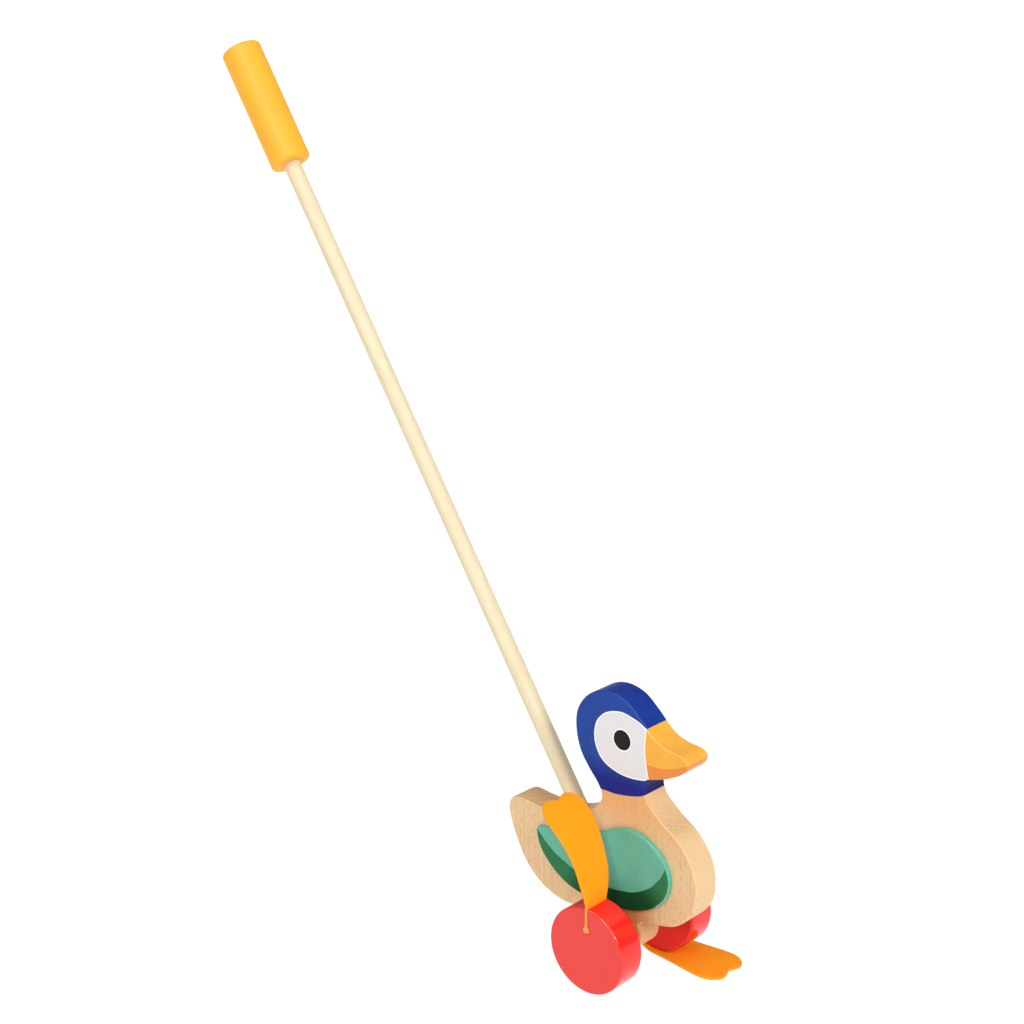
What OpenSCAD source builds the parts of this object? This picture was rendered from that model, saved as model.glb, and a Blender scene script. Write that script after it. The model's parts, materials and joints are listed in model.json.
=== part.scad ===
// Push-along duck: a flat wooden duck on two wheels, with rubber feet that flap and a long rod with a handle.
// The duck faces +X, its right side is towards -Y, and Z = 0 is the floor.
// The origin is on the floor, halfway along and halfway across the toy.

/* [Wheels] */
// Diameter of a wheel
wheel_d = 60; // [54:1:64]
// Thickness of a wheel
wheel_t = 21; // [20:0.5:22]
// Distance between the outer faces of the two wheels
wheel_span = 96; // [92:0.5:100]
// Diameter of the wooden axle
axle_d = 8; // [6:0.5:9]

/* [Duck] */
// Thickness of the duck's board
body_t = 21.5; // [18:0.5:23]
// Thickness of a wing
wing_t = 3.5; // [2:0.5:5]
// Radius of the round lug that the axle runs in
lug_r = 15; // [14:0.5:17]

/* [Rod and handle] */
// Diameter of the rod
rod_d = 12; // [10:0.5:13]
// How far the rod leans back from upright, in degrees
rod_lean = 33.2; // [25:0.1:40]
// Length of rod between the duck's back and the handle
rod_free = 483; // [300:1:520]
// Diameter of the handle
handle_d = 28; // [24:0.5:32]
// Length of the handle
handle_len = 89; // [70:1:110]

/* [Feet] */
// Thickness of the rubber sheet
foot_t = 2; // [1.5:0.1:2.5]
// How far the left foot's slot is turned forwards from the top of its wheel, in degrees
left_slot = 219; // [200:1:225]
// Radius of the backward bend of the raised right foot
right_bend = 72.5; // [65:0.5:100]

/* [Hidden] */
$fn = 96;

// fits
running_gap = 0.08;
glue_gap = 0.03;
side_play = 0.4;
rub_gap = 0.3;
slot_gap = 0.1;
hinge_gap = 1.4;

// places
wheel_r = wheel_d / 2;
wheel_y = (wheel_span - wheel_t) / 2;
inner_y = wheel_span / 2 - wheel_t;
axle_z = wheel_r + rub_gap + foot_t;
flex_r = wheel_r + rub_gap + foot_t / 2;
socket_depth = 13;
axle_len = 2 * (inner_y + socket_depth - 0.5);
spacer_d = 15;

// keyhole across each wheel that holds the foot's bead
keyhole_r = 15;
keyhole_d = 6;
bead_d = 5.2;

// rod and handle, measured along the rod from the point where it enters the duck's back
rod_foot = [-45, 69];
rod_depth = 32;
grip_depth = 40;
handle_edge = 2;

// foot: half widths along its length, then the two toes; its root is flush with the wheel's outer face
foot_len = 76.5;
foot_sides = [[0, 9.9], [9, 12.4], [18, 14.1], [30, 15.2], [44, 17], [54, 18.4], [62, 19]];
foot_toe = [[62, 19], [67.5, 18.4], [72.3, 16], [75.5, 12.5], [76.5, 9], [75.9, 5.6], [74.7, 2.4], [73.4, 0]];
foot_w = 2 * foot_sides[0][1];
foot_y = (wheel_span - foot_w) / 2;

// outline of the duck seen from its right, from the axle's centre: chin and breast, the lug,
// then tail, back, head and beak
lug_start = 30;
lug_end = -193;
function on_lug(angle) = lug_r * [cos(angle), sin(angle)];
breast = [[17, 112.5], [16, 105.5], [18.6, 97.8], [30.2, 87.4], [43.8, 78.4], [55.4, 63.8], [59.5, 47.5],
    [56.5, 31.3], [44, 18.2], [29, 13.3], [19, 11.6], [14.6, 10.2], on_lug(lug_start)];
back = [on_lug(lug_end), [-18, 5], [-24, 5.3], [-36, 4], [-51.5, 3], [-69.5, 9], [-84, 21.5], [-95, 41.5],
    [-99.5, 57.5], [-97.3, 64.3], [-91, 67.5], [-78, 66.6], [-62, 66.6], [-48.5, 69], [-36, 73.5],
    [-24.5, 80.5], [-19, 89.5], [-21.5, 97], [-30, 107], [-37, 117], [-41, 130.5], [-40.5, 144.5],
    [-34, 155.5], [-24, 162.5], [-12.5, 164.7], [0, 161.7], [12, 152.5], [21, 144], [27.5, 140],
    [35, 137.8], [45.3, 136.6], [49.6, 134.2], [49.8, 130], [45, 124.5], [34, 118.2], [24.5, 114.6],
    [17, 112.5]];

// outline of a wing, from the axle's centre
wing = [[-71.5, 50.5], [-67.8, 38.5], [-58.5, 28], [-45, 19.7], [-29, 16.2], [-9, 16.2], [11, 19],
    [26, 25.5], [36.6, 35.5], [40.2, 47.5], [37, 59.2], [28, 68.6], [16.5, 74.4], [5, 75.2], [-7.3, 71.3],
    [-20.4, 64.4], [-35, 59], [-52, 55.6], [-65, 54.4], [-70, 53.4]];

// point at t = 0..1 on the smooth curve from b to c, with neighbours a and d
function curve(a, b, c, d, t) =
    let (u = c - b, m = (c - a) * norm(u) / (norm(b - a) + norm(u)), n = (d - b) * norm(u) / (norm(u) + norm(d - c)))
    b * (2 * t ^ 3 - 3 * t ^ 2 + 1) + m * (t ^ 3 - 2 * t ^ 2 + t)
    + c * (3 * t ^ 2 - 2 * t ^ 3) + n * (t ^ 3 - t ^ 2);

// smooth open curve through the points, without its last point
function open_curve(p, steps = 5) =
    let (last = len(p) - 1)
    [for (i = [0 : last - 1], j = [0 : steps - 1])
        curve(i > 0 ? p[i - 1] : 2 * p[0] - p[1], p[i], p[i + 1],
            i < last - 1 ? p[i + 2] : 2 * p[last] - p[last - 1], j / steps)];

// smooth closed curve through the points
function closed_curve(p, steps = 5) =
    let (n = len(p))
    [for (i = [0 : n - 1], j = [0 : steps - 1])
        curve(p[(i + n - 1) % n], p[i], p[(i + 1) % n], p[(i + 2) % n], j / steps)];

lug = [for (i = [0 : 35]) on_lug(lug_start + (lug_end - lug_start) * i / 36)];
body_outline = concat(open_curve(breast), lug, open_curve(back));
wing_outline = closed_curve(wing);
foot_half = concat(open_curve(foot_sides), open_curve(foot_toe), [foot_toe[len(foot_toe) - 1]]);

// the footprint is centred between the handle's back edge and the duck's breast
handle_end = rod_free + handle_len;
back_x = rod_foot[0] - (handle_end - handle_edge) * sin(rod_lean)
    - (handle_d / 2 - handle_edge) * cos(rod_lean) - handle_edge;
front_x = max([for (p = body_outline) p[0]]);
axle_x = -(back_x + front_x) / 2;

// puts what is drawn around the axle's centre in its place
module at_axle() {
    translate([axle_x, 0, axle_z])
        children();
}

// a slab of thickness t around the plane y, from an outline in X and Z
module slab(y, t) {
    translate([0, y + t / 2, 0])
        rotate([90, 0, 0])
            linear_extrude(t)
                children();
}

// a cylinder along Y from y0 to y1
module rod_y(r, y0, y1) {
    translate([0, y1, 0])
        rotate([90, 0, 0])
            cylinder(r = r, h = y1 - y0);
}

// along the rod: Z runs up it from the duck's back
module along_rod() {
    at_axle()
        translate([rod_foot[0], 0, rod_foot[1]])
            rotate([0, -rod_lean, 0])
                children();
}

// turned a wheel's way, so that a slot cut at the top comes to its own angle
module at_slot(angle) {
    at_axle()
        rotate([0, angle, 0])
            children();
}

module duck_body() {
    color("burlywood")
        difference() {
            at_axle()
                slab(0, body_t)
                    polygon(body_outline);
            at_axle()
                rod_y(axle_d / 2 + running_gap, -body_t, body_t);
            along_rod()
                translate([0, 0, -rod_depth])
                    cylinder(d = rod_d + 2 * glue_gap, h = 2 * rod_depth);
        }
}

// a wing lies on the duck's side, side = -1 for the right and 1 for the left
module wing_plate(side) {
    color("mediumaquamarine")
        at_axle()
            slab(side * (body_t + wing_t) / 2, wing_t)
                polygon(wing_outline);
}

module wing_right() {
    wing_plate(-1);
}

module wing_left() {
    wing_plate(1);
}

module axle() {
    color("tan")
        at_axle()
            rod_y(axle_d / 2, -axle_len / 2, axle_len / 2);
}

// a sleeve that keeps its wheel clear of the duck
module spacer(side) {
    start = body_t / 2 + side_play;
    color("wheat")
        at_axle()
            difference() {
                rod_y(spacer_d / 2, min(side * start, side * inner_y), max(side * start, side * inner_y));
                rod_y(axle_d / 2 + glue_gap, -wheel_span, wheel_span);
            }
}

module spacer_right() {
    spacer(-1);
}

module spacer_left() {
    spacer(1);
}

// a wheel with a blind socket for the axle and a keyhole slot for its foot
module wheel(side, slot_angle) {
    edge = 1.5;
    flat_r = wheel_r - edge;
    color("red")
        difference() {
            at_axle()
                translate([0, side * wheel_y + wheel_t / 2, 0])
                    rotate([90, 0, 0])
                        rotate_extrude()
                            union() {
                                square([flat_r, wheel_t]);
                                translate([0, edge])
                                    square([wheel_r, wheel_t - 2 * edge]);
                                for (z = [edge, wheel_t - edge])
                                    translate([flat_r, z])
                                        circle(edge);
                            }
            at_axle()
                rod_y(axle_d / 2 + glue_gap,
                    min(0, side * (inner_y + socket_depth)), max(0, side * (inner_y + socket_depth)));
            at_slot(slot_angle) {
                translate([0, 0, keyhole_r])
                    rod_y(keyhole_d / 2, side * wheel_y - wheel_t, side * wheel_y + wheel_t);
                translate([-foot_t / 2 - slot_gap, side * wheel_y - wheel_t, keyhole_r])
                    cube([foot_t + 2 * slot_gap, 2 * wheel_t, wheel_r]);
            }
        }
}

module wheel_right() {
    wheel(-1, 0);
}

module wheel_left() {
    wheel(1, left_slot);
}

// the part of a foot inside its wheel: a bead in the keyhole and the sheet up to the rim
module foot_root(side, slot_angle) {
    color("orange")
        at_slot(slot_angle)
            translate([0, side * foot_y, keyhole_r])
                union() {
                    rod_y(bead_d / 2, -foot_w / 2, foot_w / 2);
                    translate([-foot_t / 2, -foot_w / 2, 0])
                        cube([foot_t, foot_w, flex_r - hinge_gap - keyhole_r]);
                }
}

module foot_right_bead() {
    foot_root(-1, 0);
}

module foot_left_bead() {
    foot_root(1, left_slot);
}

// the round edge where a foot's blade meets the sheet in its wheel
module blade_root() {
    rod_y(foot_t / 2, -foot_half[0][1], foot_half[0][1]);
}

// raised blade: it leaves the rim straight and bends backwards in one arc
module foot_right() {
    function height(s) = right_bend * sin(s / right_bend * 180 / PI);
    sides = [for (p = foot_half) [p[1], height(p[0])]];
    reach = right_bend * (1 - cos(foot_len / right_bend * 180 / PI)) + 2 * foot_t;
    color("orange")
        at_axle()
            translate([0, -foot_y, flex_r])
                union() {
                    intersection() {
                        translate([-reach, 0, 0])
                            rotate([90, 0, 90])
                                linear_extrude(reach + foot_t)
                                    union() {
                                        polygon(concat(sides, [[0, 0]]));
                                        mirror([1, 0])
                                            polygon(concat(sides, [[0, 0]]));
                                    }
                        translate([-right_bend, 0, 0])
                            difference() {
                                rod_y(right_bend + foot_t / 2, -wheel_span, wheel_span);
                                rod_y(right_bend - foot_t / 2, -wheel_span, wheel_span);
                            }
                    }
                    blade_root();
                }
}

// trodden blade: it lies round the rim to the floor, then flat and forwards on the floor
module foot_left() {
    wrap = left_slot - 180;
    wrap_len = flex_r * wrap * PI / 180;
    function along(s) = s < wrap_len ? -flex_r * sin(wrap * (1 - s / wrap_len)) : s - wrap_len;
    sides = [for (p = foot_half) [along(p[0]), p[1]]];
    color("orange")
        at_axle()
            translate([0, foot_y, 0])
                union() {
                    intersection() {
                        translate([0, 0, -2 * flex_r])
                            linear_extrude(2 * flex_r)
                                union() {
                                    polygon(concat(sides, [[sides[0][0], 0]]));
                                    mirror([0, 1])
                                        polygon(concat(sides, [[sides[0][0], 0]]));
                                }
                        union() {
                            difference() {
                                rod_y(flex_r + foot_t / 2, -wheel_span, wheel_span);
                                rod_y(flex_r - foot_t / 2, -2 * wheel_span, 2 * wheel_span);
                                translate([0, -wheel_span, -2 * wheel_r])
                                    cube([2 * wheel_r, 2 * wheel_span, 4 * wheel_r]);
                            }
                            translate([0, -wheel_span, -flex_r - foot_t / 2])
                                cube([foot_len, 2 * wheel_span, foot_t]);
                        }
                    }
                    rotate([0, left_slot, 0])
                        translate([0, 0, flex_r])
                            blade_root();
                }
}

module push_rod() {
    color("blanchedalmond")
        along_rod()
            translate([0, 0, 0.5 - rod_depth])
                cylinder(d = rod_d, h = rod_free + rod_depth + grip_depth - 1);
}

// turned handle with rounded ends and a blind socket for the rod
module handle() {
    flat_r = handle_d / 2 - handle_edge;
    color("gold")
        along_rod()
            translate([0, 0, rod_free])
                difference() {
                    rotate_extrude()
                        union() {
                            square([flat_r, handle_len]);
                            translate([0, handle_edge])
                                square([handle_d / 2, handle_len - 2 * handle_edge]);
                            for (z = [handle_edge, handle_len - handle_edge])
                                translate([flat_r, z])
                                    circle(handle_edge);
                        }
                    translate([0, 0, -1])
                        cylinder(d = rod_d + 2 * glue_gap, h = grip_depth + 1);
                }
}

duck_body();
wing_right();
wing_left();
axle();
spacer_right();
spacer_left();
wheel_right();
wheel_left();
foot_right();
foot_right_bead();
foot_left();
foot_left_bead();
push_rod();
handle();
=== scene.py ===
import json
import math
from collections import Counter

import bpy
import numpy as np
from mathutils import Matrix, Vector
from mathutils.geometry import delaunay_2d_cdt
from mathutils.kdtree import KDTree


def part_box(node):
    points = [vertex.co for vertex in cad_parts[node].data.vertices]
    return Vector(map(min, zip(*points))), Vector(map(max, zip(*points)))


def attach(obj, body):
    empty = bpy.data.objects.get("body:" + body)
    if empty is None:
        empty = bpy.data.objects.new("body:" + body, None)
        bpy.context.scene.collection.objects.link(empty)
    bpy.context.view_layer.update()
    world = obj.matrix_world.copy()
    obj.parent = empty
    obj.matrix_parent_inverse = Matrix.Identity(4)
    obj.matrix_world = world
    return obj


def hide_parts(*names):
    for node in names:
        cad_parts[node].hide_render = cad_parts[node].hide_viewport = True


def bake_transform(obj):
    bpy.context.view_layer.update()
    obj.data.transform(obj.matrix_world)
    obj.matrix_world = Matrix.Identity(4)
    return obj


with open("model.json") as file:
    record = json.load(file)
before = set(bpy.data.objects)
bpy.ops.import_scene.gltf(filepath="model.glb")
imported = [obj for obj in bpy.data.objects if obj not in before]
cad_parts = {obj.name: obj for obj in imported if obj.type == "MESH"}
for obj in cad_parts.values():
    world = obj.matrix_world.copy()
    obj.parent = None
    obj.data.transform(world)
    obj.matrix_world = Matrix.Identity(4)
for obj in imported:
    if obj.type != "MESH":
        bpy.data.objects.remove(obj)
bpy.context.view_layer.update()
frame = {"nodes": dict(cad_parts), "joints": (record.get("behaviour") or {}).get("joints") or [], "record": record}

# A push-along duck. Shapes are worked out in millimetres around the axle's centre, then placed in the frame.
MM = 0.001


# ---------------- places, from the frame

def centre_of(node):
    """Centre of a CAD node's box, in millimetres."""
    low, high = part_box(node)
    return np.array((low + high) / 2) / MM


def size_of(node):
    """Size of a CAD node's box, in millimetres."""
    low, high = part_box(node)
    return np.array(high - low) / MM


AXLE = centre_of("axle")
JOINTS = {joint["name"]: joint for joint in frame["joints"]}
GRIP = frame["record"]["mounts"][0]
ROD_AXIS = np.array(GRIP["axis"])
ROD_POINT = np.array(GRIP["pos_m"]) / MM
BODY_T = size_of("duck_body")[1]
WING_T = size_of("wing_right")[1]
WHEEL_T = size_of("wheel_right")[1]
WHEEL_R = size_of("wheel_right")[0] / 2
WHEEL_Y = centre_of("wheel_left")[1]
FLEX_R = JOINTS["right_foot_flex"]["pos_m"][2] / MM - AXLE[2]
AXLE_R = size_of("axle")[0] / 2
ROD_R = size_of("push_rod")[1] / 2
BEAD_R = size_of("foot_right_bead")[0] / 2
FOOT_Y = centre_of("foot_left_bead")[1]
FOOT_ROOT = size_of("foot_left_bead")[1] / 2
FOOT_HALF = size_of("foot_left")[1] / 2
SLOT_TURN = {-1: 0, 1: 219}


# ---------------- borders: outlines that know their normals

def smooth(points, pitch):
    """Points about one pitch apart on the smooth open curve through the given ones."""
    points = np.array(points, float)
    gaps = np.linalg.norm(np.diff(points, axis=0), axis=1)
    length = np.concatenate([[0], np.cumsum(gaps)])
    slope = np.gradient(points, length, axis=0, edge_order=2 if len(points) > 2 else 1)
    s = np.linspace(0, length[-1], max(2, round(length[-1] / pitch) + 1))
    i = np.clip(np.searchsorted(length, s, side="right") - 1, 0, len(length) - 2)
    h = gaps[i][:, None]
    t = (s[:, None] - length[i][:, None]) / h
    return ((2 * t**3 - 3 * t**2 + 1) * points[i] + (t**3 - 2 * t**2 + t) * h * slope[i]
            + (3 * t**2 - 2 * t**3) * points[i + 1] + (t**3 - t**2) * h * slope[i + 1])


def arc(centre, radius, start, end, pitch):
    """Points on an arc, from one angle to another in degrees."""
    count = max(2, round(abs(math.radians(end - start)) * radius / pitch) + 1)
    a = np.radians(np.linspace(start, end, count))
    return np.stack([centre[0] + radius * np.cos(a), centre[1] + radius * np.sin(a)], axis=1)


class Border:
    """A line in the plane with the board on its left. Each segment has outward normals at its ends."""

    def __init__(self, stretches, closed=True):
        points, first, second = [], [], []
        for line in stretches:
            tangent = np.gradient(line, axis=0, edge_order=2 if len(line) > 2 else 1)
            tangent /= np.linalg.norm(tangent, axis=1)[:, None]
            normal = np.stack([tangent[:, 1], -tangent[:, 0]], axis=1)
            points += list(line[:-1])
            first += list(normal[:-1])
            second += list(normal[1:])
        self.closed = closed
        self.first, self.second = np.array(first), np.array(second)
        end = points[0] if closed else stretches[-1][-1]
        self.points = np.array(points)
        self.ends = np.array(points[1:] + [end])

    def nearest(self, where):
        """Segment, distance and outward normal of the border's nearest spot to each point."""
        where = np.atleast_2d(where)
        found = [np.empty(len(where), int), np.empty(len(where)), np.empty((len(where), 2))]
        along = self.ends - self.points
        for k, p in enumerate(where):
            t = np.clip(((p - self.points) * along).sum(1) / (along**2).sum(1), 0, 1)
            gap = np.linalg.norm(self.points + t[:, None] * along - p, axis=1)
            i = int(gap.argmin())
            found[0][k], found[1][k], found[2][k] = i, gap[i], self.normal(i, t[i])
        return found

    def normal(self, i, t):
        """Outward normal at share t of segment i."""
        n = (1 - t) * self.first[i] + t * self.second[i]
        return n / np.linalg.norm(n)

    def inset(self, distance):
        """The line a distance inside this one, as a list of points."""
        before = np.roll(self.second, 1, axis=0)
        if not self.closed:
            before[0] = self.first[0]
        mitre = (before + self.first) / (1 + (before * self.first).sum(1))[:, None]
        line = list(self.points - distance * mitre)
        return line + ([line[0]] if self.closed else [self.ends[-1] - distance * self.second[-1]])

    def line(self):
        """All its points, closed by a copy of the first one."""
        return list(self.points) + [self.ends[-1]]


def split_at_corners(loop, sharpest=28):
    """A closed loop of points as stretches that end at its corners, or one stretch if it has none."""
    step = np.roll(loop, -1, axis=0) - loop
    heading = np.degrees(np.arctan2(step[:, 1], step[:, 0]))
    turn = (heading - np.roll(heading, 1) + 180) % 360 - 180
    corners = [i for i in range(len(loop)) if abs(turn[i]) > sharpest]
    if not corners:
        return [np.vstack([loop, loop[:1]])]
    ring = np.vstack([loop, loop])
    return [ring[a:b + 1] for a, b in zip(corners, corners[1:] + [corners[0] + len(loop)])]


def face_loops(node, side):
    """Loops round a CAD node's flat face that looks along side * Y, longest first, around the axle."""
    mesh = frame["nodes"][node].data
    low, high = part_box(node)
    level = high.y if side > 0 else low.y
    flat = [[mesh.vertices[i].co for i in p.vertices] for p in mesh.polygons]
    flat = [[(round(co.x / MM, 3), round(co.z / MM, 3)) for co in face]
            for face in flat if all(abs(co.y - level) < 1e-6 for co in face)]
    sides = Counter((a, b) for face in flat for a, b in zip(face, face[1:] + face[:1]))
    follow = {a: b for a, b in sides if (b, a) not in sides}
    loops = []
    while follow:
        start, loop = next(iter(follow)), []
        while start in follow:
            loop.append(start)
            start = follow.pop(start)
        loops.append(np.array(loop) - AXLE[[0, 2]])
    return sorted(loops, key=len, reverse=True)


def border_of(node, side, pitch):
    """A smooth border along the edge of a CAD node's flat face on that side, as seen from there."""
    loop = face_loops(node, side)[0] * [-side, 1]
    area = (loop[:, 0] * np.roll(loop[:, 1], -1) - loop[:, 1] * np.roll(loop[:, 0], -1)).sum()
    stretches = split_at_corners(loop if area > 0 else loop[::-1])
    return Border([np.clip(smooth(line, pitch), loop.min(0), loop.max(0)) for line in stretches])


def inside(where, loop):
    """Whether each point lies inside a closed loop."""
    a, b = np.array(loop), np.roll(np.array(loop), -1, axis=0)
    x, y = where[:, :1], where[:, 1:]
    crosses = (a[:, 1] > y) != (b[:, 1] > y)
    with np.errstate(divide="ignore", invalid="ignore"):
        at = a[:, 0] + (y - a[:, 1]) / (b[:, 1] - a[:, 1]) * (b[:, 0] - a[:, 0])
    return (crosses & (x < at)).sum(1) % 2 == 1


def triangulate(lines, dots, loops):
    """Triangles that keep every line as edges, inside the first loop and outside the others."""
    points, edges = [], []
    for line in lines:
        edges += [(len(points) + i, len(points) + i + 1) for i in range(len(line) - 1)]
        points += [Vector(p) for p in line]
    points += [Vector(p) for p in dots]
    made = delaunay_2d_cdt(points, edges, [], 0, 2e-3, False)
    where, faces = np.array([list(p) for p in made[0]]), np.array(made[2])
    middle = where[faces].mean(1)
    kept = inside(middle, loops[0])
    for hole in loops[1:]:
        kept &= ~inside(middle, hole)
    faces = faces[kept]
    used, faces = np.unique(faces, return_inverse=True)
    return where[used], faces.reshape(-1, 3)


def dots_inside(loop, pitch):
    """A staggered grid of points over a loop's box."""
    loop = np.array(loop)
    low, high = loop.min(0), loop.max(0)
    rows = int((high[1] - low[1]) / (pitch * 0.866)) + 1
    columns = int((high[0] - low[0]) / pitch) + 1
    dots = [(low[0] + (c + 0.5 * (r % 2)) * pitch, low[1] + r * pitch * 0.866)
            for r in range(rows) for c in range(columns)]
    return np.array(dots)[inside(np.array(dots), loop)]


def clear_of(dots, lines, gap):
    """The dots that keep a gap from every line's points."""
    marks = np.vstack([np.array(line, float) for line in lines])
    kept = [d for d in dots if np.abs(marks - d).max(1).min() > gap
            and np.linalg.norm(marks - d, axis=1).min() > gap]
    return np.array(kept).reshape(-1, 2)


# ---------------- shells: surfaces of boards and turned shapes

WELD = 0.006
WALL_ROWS = 4


class Shell:
    """Points (u, v, h) in millimetres, with faces, a normal for each of their corners and a paint number."""

    def __init__(self):
        self.points, self.faces, self.normals, self.paints = [], [], [], []

    def add(self, points):
        """Adds points and returns the number of the first."""
        start = len(self.points)
        self.points += [tuple(p) for p in points]
        return start

    def face(self, corners, normals, paint=0):
        self.faces.append([int(c) for c in corners])
        self.normals.append([tuple(n) for n in normals])
        self.paints.append(int(paint))

    def weld(self):
        """Joins the points that lie in the same place, and drops faces that have no area left."""
        tree = KDTree(len(self.points))
        for i, p in enumerate(self.points):
            tree.insert(p, i)
        tree.balance()
        same = [min(i for _, i, _ in tree.find_range(p, WELD)) for p in self.points]
        kept = {old: new for new, old in enumerate(sorted(set(same)))}
        self.points = [self.points[old] for old in kept]
        rows = list(zip(self.faces, self.normals, self.paints))
        self.faces, self.normals, self.paints = [], [], []
        for face, normals, paint in rows:
            face = [kept[same[i]] for i in face]
            corners = [k for k in range(len(face)) if face[k] != face[k - 1]]
            if len(set(face[k] for k in corners)) > 2:
                self.face([face[k] for k in corners], [normals[k] for k in corners], paint)


def rounding_steps(radius):
    """Distances inside an edge at which a rounded edge of this radius turns evenly."""
    count = 6 if radius > 0.8 else 3
    return [radius * (1 - math.cos(math.radians(90 * (i + 1) / count))) for i in range(count)]


def drop_and_normal(where, rounded):
    """How far a face lies below its flat level near its rounded edges, and its normal there."""
    drop, normal = np.zeros(len(where)), np.tile([0.0, 0.0, 1.0], (len(where), 1))
    for border, radius in rounded:
        _, gap, out = border.nearest(where)
        flat = np.clip(1 - gap / radius, 0, 1)
        up = np.sqrt(1 - flat**2)
        deeper = (gap < radius) & (radius * (1 - up) >= drop)
        drop = np.where(deeper, radius * (1 - up), drop)
        normal = np.where(deeper[:, None], np.column_stack([out * flat[:, None], up]), normal)
    return drop, normal


def plain(middles, side):
    """The paint of a piece that has only one."""
    return np.zeros(len(middles), int)


def board(borders, rounded, half, marks=(), pitch=4.0, paint=plain, sockets=(), open_wall=None):
    """A board between a top and a bottom face, as a Shell.

    borders are its outline and the holes through it. rounded maps 1 (top) and -1 (bottom) to
    (border, radius) for the rounded edges. half gives half its thickness at each point. marks are lines
    to follow on both faces. sockets are (circle, side, floor) for blind holes. open_wall says where the
    outline's wall is left out."""
    edges = list(dict.fromkeys(rounded[1] + rounded[-1]))
    lines = [b.line() for b in borders] + [list(m) for m in marks] + [list(c) for c, _, _ in sockets]
    for border, radius in edges:
        lines += [border.inset(d) for d in rounding_steps(radius)]
    dots = clear_of(dots_inside(borders[0].points, pitch), lines, 0.45 * pitch)
    where, faces = triangulate(lines, dots, [b.points for b in borders])
    shell, middle, thick, levels = Shell(), where[faces].mean(1), half(where), []
    for side in (1, -1):
        drop, normal = drop_and_normal(where, rounded[side])
        levels.append(side * (thick - drop))
        start = shell.add(np.column_stack([where, levels[-1]]))
        normal = normal * [1, 1, side]
        paints = paint(middle, side)
        kept = np.ones(len(faces), bool)
        for circle, where_open, _ in sockets:
            if where_open == side:
                kept &= ~inside(middle, circle)
        for face, tag in zip(faces[kept], paints[kept]):
            corners = face[::side]
            shell.face(start + corners, normal[corners], tag)
    for circle, side, floor in sockets:
        rim = [(*p, side * thick[0]) for p in circle]
        blind_hole(shell, rim, [(*p, floor) for p in circle], side)
    walls(shell, where, faces, levels, borders, paint, open_wall)
    return shell


def blind_hole(shell, rim, floor, side):
    """The wall and the flat floor of a hole, between two rings that run anticlockwise seen from side."""
    high, low = (rim, floor) if side > 0 else (floor, rim)
    middle = np.mean(floor[:-1], axis=0)
    a, b = shell.add(high), shell.add(low)
    for i in range(len(rim) - 1):
        inward = [middle - np.array(floor[k]) for k in (i, i + 1)]
        one, two = [n / np.linalg.norm(n) for n in inward]
        shell.face((a + i, a + i + 1, b + i + 1, b + i), (one, two, two, one))
    centre, ring = shell.add([middle]), shell.add(floor)
    up = np.cross(np.array(floor[0]) - middle, np.array(floor[len(floor) // 4]) - middle)
    up = side * up / np.linalg.norm(up)
    for i in range(len(floor) - 1):
        shell.face((centre, ring + i, ring + i + 1)[::side], [up] * 3)


def walls(shell, where, faces, levels, borders, paint, open_wall):
    """Joins a board's two faces along its outline and its holes."""
    sides = {(int(a), int(b)) for face in faces for a, b in zip(face, np.roll(face, -1))}
    open_sides = sorted((a, b) for a, b in sides if (b, a) not in sides)
    a, b = np.array(open_sides).T
    middle = (where[a] + where[b]) / 2
    found = [border.nearest(middle) for border in borders]
    owner = np.array([f[1] for f in found]).argmin(0)
    tags = paint(middle, 0)
    for k in range(len(a)):
        if open_wall and open_wall(middle[k]):
            continue
        border, i = borders[owner[k]], found[owner[k]][0][k]
        along = border.ends[i] - border.points[i]
        share = [np.clip((where[j] - border.points[i]) @ along / (along @ along), 0, 1)
                 for j in (a[k], b[k])]
        na, nb = (np.append(border.normal(i, t), 0) for t in share)
        left, right = ([(*where[j], levels[0][j] + (levels[1][j] - levels[0][j]) * r / WALL_ROWS)
                        for r in range(WALL_ROWS + 1)] for j in (a[k], b[k]))
        p, q = shell.add(left), shell.add(right)
        for r in range(WALL_ROWS):
            shell.face((p + r, p + r + 1, q + r + 1, q + r), (na, na, nb, nb), tags[k])


def turned(profile, steps=72):
    """The Shell of a shape turned about the v axis, from a Border in (radius, v)."""
    shell = Shell()
    angles = [math.tau * i / steps for i in range(steps + 1)]

    def around(values, a):
        return (values[0] * math.cos(a), values[1], -values[0] * math.sin(a))

    for one, two, n1, n2 in zip(profile.points, profile.ends, profile.first, profile.second):
        low = shell.add([around(one, a) for a in angles])
        high = shell.add([around(two, a) for a in angles])
        for i in range(steps):
            a, b = angles[i], angles[i + 1]
            shell.face((low + i, low + i + 1, high + i + 1, high + i),
                       (around(n1, a), around(n1, b), around(n2, b), around(n2, a)))
    return shell


def placer(origin, e_u, e_v):
    """A function that places (u, v, h) rows in the world, with h along e_u x e_v."""
    axes = np.array([e_u, e_v, np.cross(e_u, e_v)], float)
    origin = np.array(origin, float)
    return lambda rows: origin + np.asarray(rows) @ axes


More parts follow.
